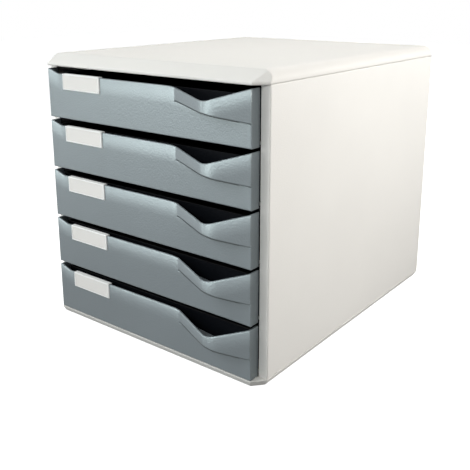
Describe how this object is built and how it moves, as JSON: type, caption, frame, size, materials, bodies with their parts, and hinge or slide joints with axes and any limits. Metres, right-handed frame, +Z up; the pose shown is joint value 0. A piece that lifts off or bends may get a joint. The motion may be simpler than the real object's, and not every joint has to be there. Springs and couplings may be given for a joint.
{
  "type": "desk drawer unit",
  "caption": "Free-standing desk cabinet with stacked A4 drawers that slide out of a rounded plastic case, each with a sculpted finger grip and a label frame.",
  "frame": {"origin": "under the middle of the unit, on the surface that it stands on", "axes": "+X to the right of someone facing the drawers, +Y from the drawers to the back, +Z up"},
  "size_m": [0.285, 0.36, 0.29],
  "materials": {
    "case_plastic": "satin off-white",
    "front_plastic": "fine-grained blue-grey",
    "tray_plastic": "dark, matte",
    "label_plastic": "satin white",
    "card_paper": "plain card",
    "foot_rubber": "matte black"
  },
  "bodies": {
    "case": {"top_cover": "case_plastic", "left_side_wall": "case_plastic", "right_side_wall": "case_plastic", "back_panel": "case_plastic", "base_tray": "case_plastic", "foot_front_left": "foot_rubber", "foot_front_right": "foot_rubber", "foot_rear_left": "foot_rubber", "foot_rear_right": "foot_rubber"},
    "drawer_1": {"drawer_1_tray": "tray_plastic", "drawer_1_front": "front_plastic", "drawer_1_label_holder": "label_plastic", "drawer_1_label_card": "card_paper"},
    "drawer_2": {"drawer_2_tray": "tray_plastic", "drawer_2_front": "front_plastic", "drawer_2_label_holder": "label_plastic", "drawer_2_label_card": "card_paper"},
    "drawer_3": {"drawer_3_tray": "tray_plastic", "drawer_3_front": "front_plastic", "drawer_3_label_holder": "label_plastic", "drawer_3_label_card": "card_paper"},
    "drawer_4": {"drawer_4_tray": "tray_plastic", "drawer_4_front": "front_plastic", "drawer_4_label_holder": "label_plastic", "drawer_4_label_card": "card_paper"},
    "drawer_5": {"drawer_5_tray": "tray_plastic", "drawer_5_front": "front_plastic", "drawer_5_label_holder": "label_plastic", "drawer_5_label_card": "card_paper"}
  },
  "joints": [
    {"name": "drawer_1_slide", "type": "slide", "parent": "case", "child": "drawer_1", "axis": [0, -1, 0], "range_m": [0, 0.235]},
    {"name": "drawer_2_slide", "type": "slide", "parent": "case", "child": "drawer_2", "axis": [0, -1, 0], "range_m": [0, 0.235]},
    {"name": "drawer_3_slide", "type": "slide", "parent": "case", "child": "drawer_3", "axis": [0, -1, 0], "range_m": [0, 0.235]},
    {"name": "drawer_4_slide", "type": "slide", "parent": "case", "child": "drawer_4", "axis": [0, -1, 0], "range_m": [0, 0.235]},
    {"name": "drawer_5_slide", "type": "slide", "parent": "case", "child": "drawer_5", "axis": [0, -1, 0], "range_m": [0, 0.235]}
  ]
}
